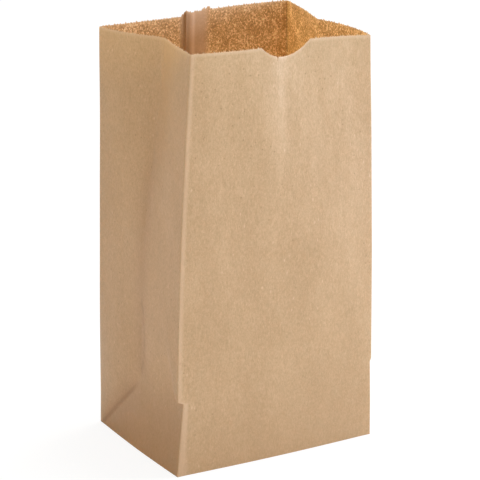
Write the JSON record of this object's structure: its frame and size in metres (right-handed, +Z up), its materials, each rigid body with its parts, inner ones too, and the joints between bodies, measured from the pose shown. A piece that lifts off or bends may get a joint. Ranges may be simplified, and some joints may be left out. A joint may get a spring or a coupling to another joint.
{
  "type": "paper lunch bag",
  "caption": "Standing brown kraft paper lunch bag with pleated side gussets, lapped back seam, folded flat bottom and an open saw-cut mouth with a thumb notch.",
  "frame": {"origin": "middle of the flat base, on the surface that the bag stands on", "axes": "+Z up to the open mouth, +X to the right along the front panel, front panel facing -Y"},
  "size_m": [0.1364, 0.0971, 0.2428],
  "materials": {
    "kraft_paper": "matte unbleached kraft paper"
  },
  "bodies": {
    "root": {"paper_bag": "kraft_paper"}
  },
  "joints": []
}
